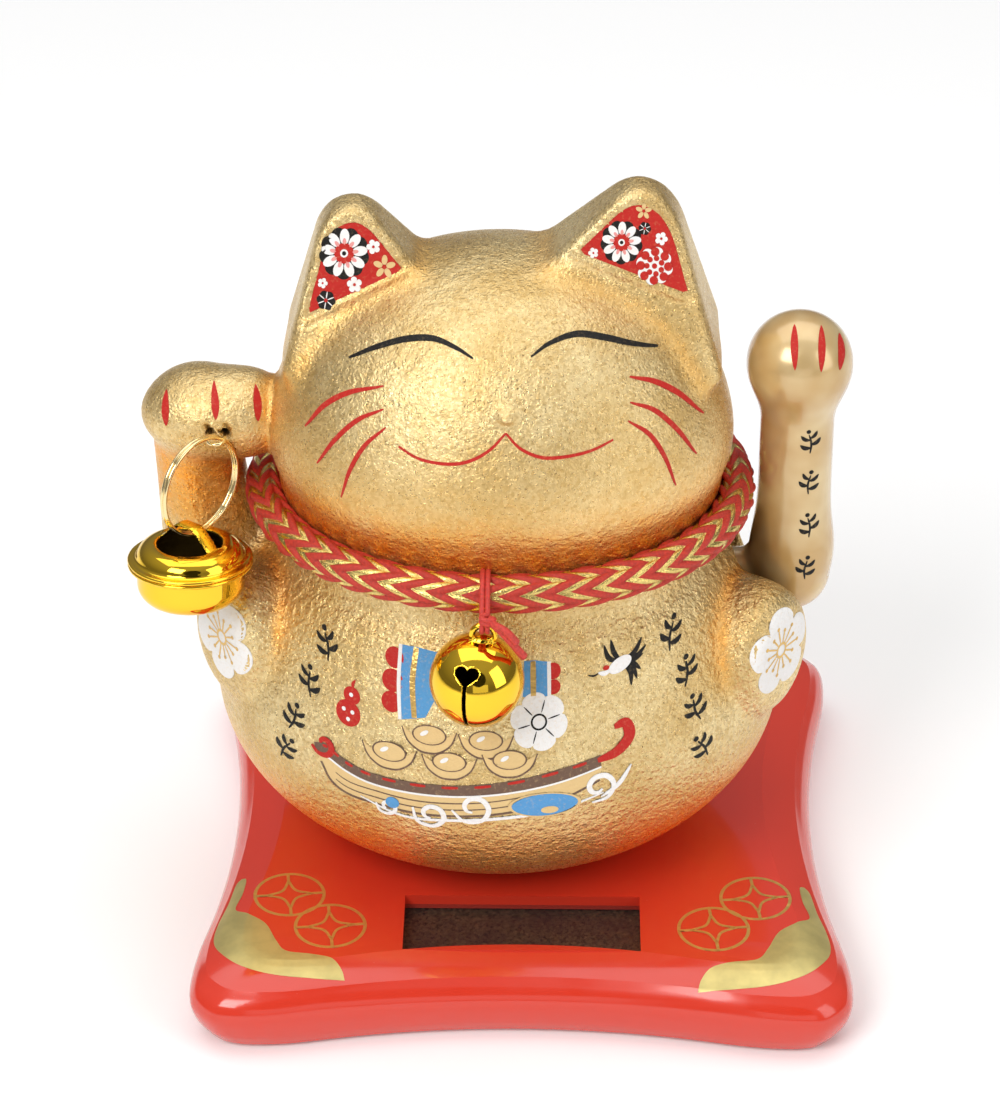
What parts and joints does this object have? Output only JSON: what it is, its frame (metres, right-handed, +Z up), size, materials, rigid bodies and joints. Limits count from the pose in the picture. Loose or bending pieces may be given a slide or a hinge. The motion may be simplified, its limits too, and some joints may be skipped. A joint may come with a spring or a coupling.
{
  "type": "beckoning cat figurine",
  "caption": "Round gold ceramic beckoning cat on a square red solar base, with a separate swinging arm, braided collar and hanging bells.",
  "frame": {"origin": "centre of the underside of the base's anti-slip pad, where the figurine stands on the floor", "axes": "+Z up; the cat looks along -Y; +X is the viewer's right, the side of the swinging arm"},
  "size_m": [0.1186, 0.11, 0.1313],
  "materials": {
    "red_plastic": "glossy moulded red",
    "steel": "plain steel",
    "foam": "matte foam",
    "clear_sheet": "clear acrylic",
    "solar_cell": "dark amorphous solar cell",
    "board": "green board",
    "white_plastic": "moulded white",
    "copper": "enamelled copper wire",
    "capacitor": "sleeved can",
    "black_plastic": "epoxy",
    "wire": "insulated wire",
    "weight_metal": "zinc plated",
    "magnet": "nickel plated",
    "gold_ceramic": "crackled metallic gold glaze with airbrushed creases",
    "red_cord": "braided red plaits with gold foil strips",
    "red_thread": "twisted red thread",
    "gold_plastic": "pearl gold lacquer",
    "bell_gold": "polished bright gold plate",
    "ring_gold": "polished pale gold wire"
  },
  "bodies": {
    "base": {"base_cover": "red_plastic", "base_bottom": "red_plastic", "base_screws": "steel", "rest_pad": "foam", "solar_window": "clear_sheet", "solar_cell": "solar_cell", "circuit_board": "board", "board_screws": "steel", "coil_bobbin": "white_plastic", "coil_winding": "copper", "storage_capacitor": "capacitor", "driver_chip": "black_plastic", "cell_wires": "wire", "seat_ring": "foam", "pivot_bracket": "white_plastic", "bracket_screws": "steel", "cat_body": "gold_ceramic", "collar_cord": "red_cord", "bell_thread": "red_thread", "paw_wire_link": "ring_gold"},
    "arm": {"swing_arm_front": "gold_plastic", "swing_arm_back": "gold_plastic", "arm_axle": "steel", "axle_clips": "steel", "pendulum_lever": "white_plastic", "pendulum_weight": "weight_metal", "pendulum_magnet": "magnet"},
    "neck_bell": {"neck_bell_upper": "bell_gold", "neck_bell_lower": "bell_gold"},
    "neck_clapper": {"neck_bell_clapper": "steel"},
    "ring": {"split_ring": "ring_gold"},
    "paw_bell": {"paw_bell_upper": "bell_gold", "paw_bell_lower": "bell_gold"},
    "paw_clapper": {"paw_bell_clapper": "steel"}
  },
  "joints": [
    {"name": "arm_swing", "type": "hinge", "parent": "base", "child": "arm", "pos_m": [0.001, 0.003, 0.0585], "axis": [1, 0, 0], "range_deg": [-12, 12]},
    {"name": "neck_bell_swing", "type": "hinge", "parent": "base", "child": "neck_bell", "pos_m": [-0.0059, -0.0422, 0.0756], "axis": [0, 1, 0], "range_deg": [-12, 12]},
    {"name": "neck_clapper_rattle", "type": "slide", "parent": "neck_bell", "child": "neck_clapper", "axis": [0.1219, 0, 0.9925], "range_m": [0, 0.008]},
    {"name": "split_ring_swing", "type": "hinge", "parent": "base", "child": "ring", "pos_m": [-0.0497, -0.01392, 0.09263], "axis": [1, 0, 0], "range_deg": [-30, 2]},
    {"name": "paw_bell_swing", "type": "hinge", "parent": "ring", "child": "paw_bell", "pos_m": [-0.05349, -0.01843, 0.07744], "axis": [0.6428, 0.766, 0], "range_deg": [-8, 8]},
    {"name": "paw_clapper_rattle", "type": "slide", "parent": "paw_bell", "child": "paw_clapper", "axis": [0, 0.1045, 0.9945], "range_m": [0, 0.004]}
  ]
}
